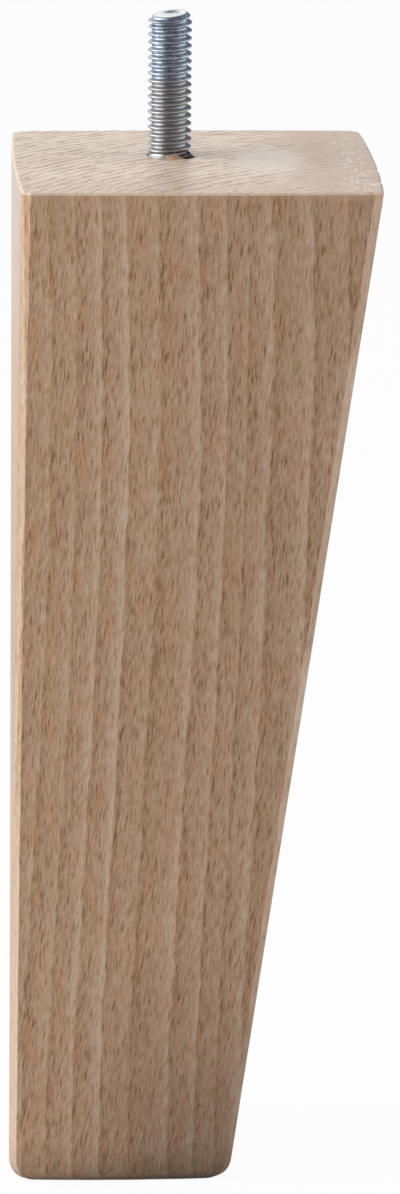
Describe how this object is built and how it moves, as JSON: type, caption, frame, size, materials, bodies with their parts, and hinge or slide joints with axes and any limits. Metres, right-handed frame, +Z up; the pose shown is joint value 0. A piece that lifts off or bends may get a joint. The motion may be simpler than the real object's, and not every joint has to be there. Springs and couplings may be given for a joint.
{
  "type": "tapered wooden furniture leg",
  "caption": "Square solid-wood furniture leg that tapers to a rounded foot, with a threaded steel hanger bolt standing out of its top to screw into a sofa, chair or cabinet.",
  "frame": {"origin": "where the bolt's axis meets the floor under the foot", "axes": "+Z up along the bolt, +X towards the sloping right side, -Y towards the sloping front side"},
  "size_m": [0.0653, 0.0653, 0.216],
  "materials": {
    "beech": "sanded bare beech, end grain on the seat",
    "zinc_steel": "dull zinc plate"
  },
  "bodies": {
    "root": {"wooden_leg": "beech", "hanger_bolt": "zinc_steel"}
  },
  "joints": []
}
